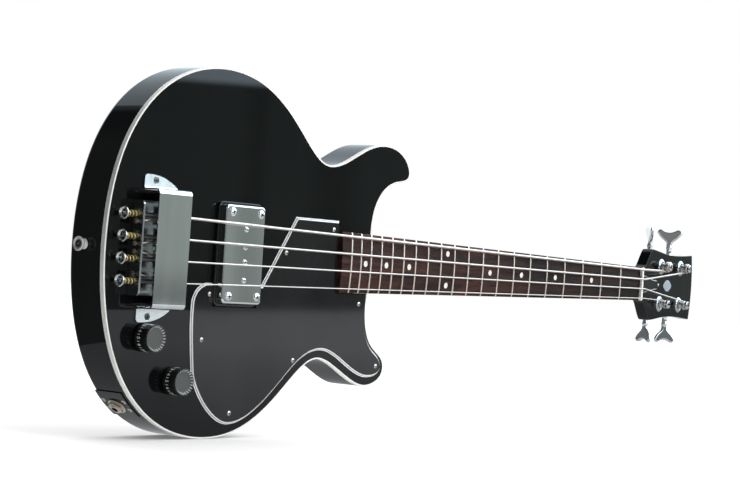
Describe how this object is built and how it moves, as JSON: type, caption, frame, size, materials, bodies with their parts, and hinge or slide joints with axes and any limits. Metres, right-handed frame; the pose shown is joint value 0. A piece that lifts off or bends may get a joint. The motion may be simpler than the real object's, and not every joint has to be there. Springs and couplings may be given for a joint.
{
  "type": "electric bass guitar",
  "caption": "Short-scale solid-body electric bass with a bound double-cutaway body, covered bridge, pickup, scratchplate and open-gear tuners.",
  "frame": {"origin": "on the body's flat back, on the centreline, under the end of the scale length at the bridge", "axes": "+X along the strings towards the headstock, +Y out of the body's back, +Z from the centreline towards the side of the thickest string"},
  "size_m": [1.0194, 0.0823, 0.3299],
  "materials": {
    "lacquer": "solid wood under high-gloss black lacquer",
    "binding": "ivory-white celluloid binding",
    "rosewood": "open-pored rosewood with nickel frets and white dots",
    "nut": "white nut material",
    "pickguard": "black three-ply sheet with a bevelled white line",
    "black_plastic": "moulded black plastic",
    "chrome": "polished chrome plate",
    "steel": "nickel-plated steel",
    "strings": "round-wound nickel strings",
    "brass": "bright spring wire",
    "copper": "enamelled copper winding"
  },
  "bodies": {
    "instrument": {"body": "lacquer", "binding": "binding", "neck": "lacquer", "fretboard": "rosewood", "nut": "nut", "truss_rod": "steel", "truss_rod_cover": "black_plastic", "pickguard": "pickguard", "pickup_ring": "black_plastic", "pickup_cover": "chrome", "pickup_coil": "copper", "pickup_magnet": "steel", "bridge_plate": "chrome", "bridge_cover": "chrome", "jack_plate": "black_plastic", "jack_socket": "chrome", "strap_button_tail": "chrome", "strap_button_heel": "chrome", "control_cover": "black_plastic", "neck_plate": "chrome", "volume_pot": "steel", "tone_pot": "steel", "string_e": "strings", "intonation_spring_e": "brass", "tuner_bushing_e": "chrome", "tuner_plate_e": "chrome", "string_a": "strings", "intonation_spring_a": "brass", "tuner_bushing_a": "chrome", "tuner_plate_a": "chrome", "string_d": "strings", "intonation_spring_d": "brass", "tuner_bushing_d": "chrome", "tuner_plate_d": "chrome", "string_g": "strings", "intonation_spring_g": "brass", "tuner_bushing_g": "chrome", "tuner_plate_g": "chrome"},
    "tuner_key_e": {"tuner_key_e": "chrome"},
    "tuner_post_e": {"tuner_post_e": "chrome"},
    "tuner_key_a": {"tuner_key_a": "chrome"},
    "tuner_post_a": {"tuner_post_a": "chrome"},
    "tuner_key_d": {"tuner_key_d": "chrome"},
    "tuner_post_d": {"tuner_post_d": "chrome"},
    "tuner_key_g": {"tuner_key_g": "chrome"},
    "tuner_post_g": {"tuner_post_g": "chrome"},
    "intonation_screw_e": {"intonation_screw_e": "steel"},
    "saddle_e": {"saddle_e": "chrome"},
    "intonation_screw_a": {"intonation_screw_a": "steel"},
    "saddle_a": {"saddle_a": "chrome"},
    "intonation_screw_d": {"intonation_screw_d": "steel"},
    "saddle_d": {"saddle_d": "chrome"},
    "intonation_screw_g": {"intonation_screw_g": "steel"},
    "saddle_g": {"saddle_g": "chrome"},
    "volume_knob": {"volume_knob": "black_plastic", "volume_shaft": "steel"},
    "tone_knob": {"tone_knob": "black_plastic", "tone_shaft": "steel"}
  },
  "joints": [
    {"name": "tuner_key_e_turn", "type": "hinge", "parent": "instrument", "child": "tuner_key_e", "pos_m": [0.85301, -0.00307, 0.022], "axis": [0, 0, 1], "continuous": true},
    {"name": "tuner_post_e_turn", "type": "hinge", "parent": "instrument", "child": "tuner_post_e", "pos_m": [0.84581, -0.02509, 0.022], "axis": [-0.1392, 0.9903, 0], "continuous": true},
    {"name": "tuner_key_a_turn", "type": "hinge", "parent": "instrument", "child": "tuner_key_a", "pos_m": [0.90946, 0.00486, 0.022], "axis": [0, 0, 1], "continuous": true},
    {"name": "tuner_post_a_turn", "type": "hinge", "parent": "instrument", "child": "tuner_post_a", "pos_m": [0.90225, -0.01716, 0.022], "axis": [-0.1392, 0.9903, 0], "continuous": true},
    {"name": "tuner_key_d_turn", "type": "hinge", "parent": "instrument", "child": "tuner_key_d", "pos_m": [0.90946, 0.00486, -0.022], "axis": [0, 0, 1], "continuous": true},
    {"name": "tuner_post_d_turn", "type": "hinge", "parent": "instrument", "child": "tuner_post_d", "pos_m": [0.90225, -0.01716, -0.022], "axis": [-0.1392, 0.9903, 0], "continuous": true},
    {"name": "tuner_key_g_turn", "type": "hinge", "parent": "instrument", "child": "tuner_key_g", "pos_m": [0.85301, -0.00307, -0.022], "axis": [0, 0, 1], "continuous": true},
    {"name": "tuner_post_g_turn", "type": "hinge", "parent": "instrument", "child": "tuner_post_g", "pos_m": [0.84581, -0.02509, -0.022], "axis": [-0.1392, 0.9903, 0], "continuous": true},
    {"name": "intonation_screw_e_turn", "type": "hinge", "parent": "instrument", "child": "intonation_screw_e", "pos_m": [-0.06, -0.052, 0.0285], "axis": [1, 0, 0], "range_deg": [-1090, 1090]},
    {"name": "saddle_e_slide", "type": "slide", "parent": "instrument", "child": "saddle_e", "axis": [1, 0, 0], "range_m": [-0.0021, 0.0021]},
    {"name": "intonation_screw_a_turn", "type": "hinge", "parent": "instrument", "child": "intonation_screw_a", "pos_m": [-0.06, -0.052, 0.0095], "axis": [1, 0, 0], "range_deg": [-1090, 1090]},
    {"name": "saddle_a_slide", "type": "slide", "parent": "instrument", "child": "saddle_a", "axis": [1, 0, 0], "range_m": [-0.0021, 0.0021]},
    {"name": "intonation_screw_d_turn", "type": "hinge", "parent": "instrument", "child": "intonation_screw_d", "pos_m": [-0.06, -0.052, -0.0095], "axis": [1, 0, 0], "range_deg": [-1090, 1090]},
    {"name": "saddle_d_slide", "type": "slide", "parent": "instrument", "child": "saddle_d", "axis": [1, 0, 0], "range_m": [-0.0021, 0.0021]},
    {"name": "intonation_screw_g_turn", "type": "hinge", "parent": "instrument", "child": "intonation_screw_g", "pos_m": [-0.06, -0.052, -0.0285], "axis": [1, 0, 0], "range_deg": [-1090, 1090]},
    {"name": "saddle_g_slide", "type": "slide", "parent": "instrument", "child": "saddle_g", "axis": [1, 0, 0], "range_m": [-0.0021, 0.0021]},
    {"name": "volume_knob_turn", "type": "hinge", "parent": "instrument", "child": "volume_knob", "pos_m": [-0.019, -0.0525, -0.0765], "axis": [0, -1, 0], "range_deg": [-150, 150]},
    {"name": "tone_knob_turn", "type": "hinge", "parent": "instrument", "child": "tone_knob", "pos_m": [0.0188, -0.0525, -0.1135], "axis": [0, -1, 0], "range_deg": [-150, 150]}
  ],
  "couplings": [
    {"joint": "tuner_post_e_turn", "follows": "tuner_key_e_turn", "ratio": 0.05},
    {"joint": "tuner_post_a_turn", "follows": "tuner_key_a_turn", "ratio": 0.05},
    {"joint": "tuner_post_d_turn", "follows": "tuner_key_d_turn", "ratio": 0.05},
    {"joint": "tuner_post_g_turn", "follows": "tuner_key_g_turn", "ratio": 0.05},
    {"joint": "intonation_screw_e_turn", "follows": "saddle_e_slide", "rad_per_m": -8976},
    {"joint": "intonation_screw_a_turn", "follows": "saddle_a_slide", "rad_per_m": -8976},
    {"joint": "intonation_screw_d_turn", "follows": "saddle_d_slide", "rad_per_m": -8976},
    {"joint": "intonation_screw_g_turn", "follows": "saddle_g_slide", "rad_per_m": -8976}
  ]
}
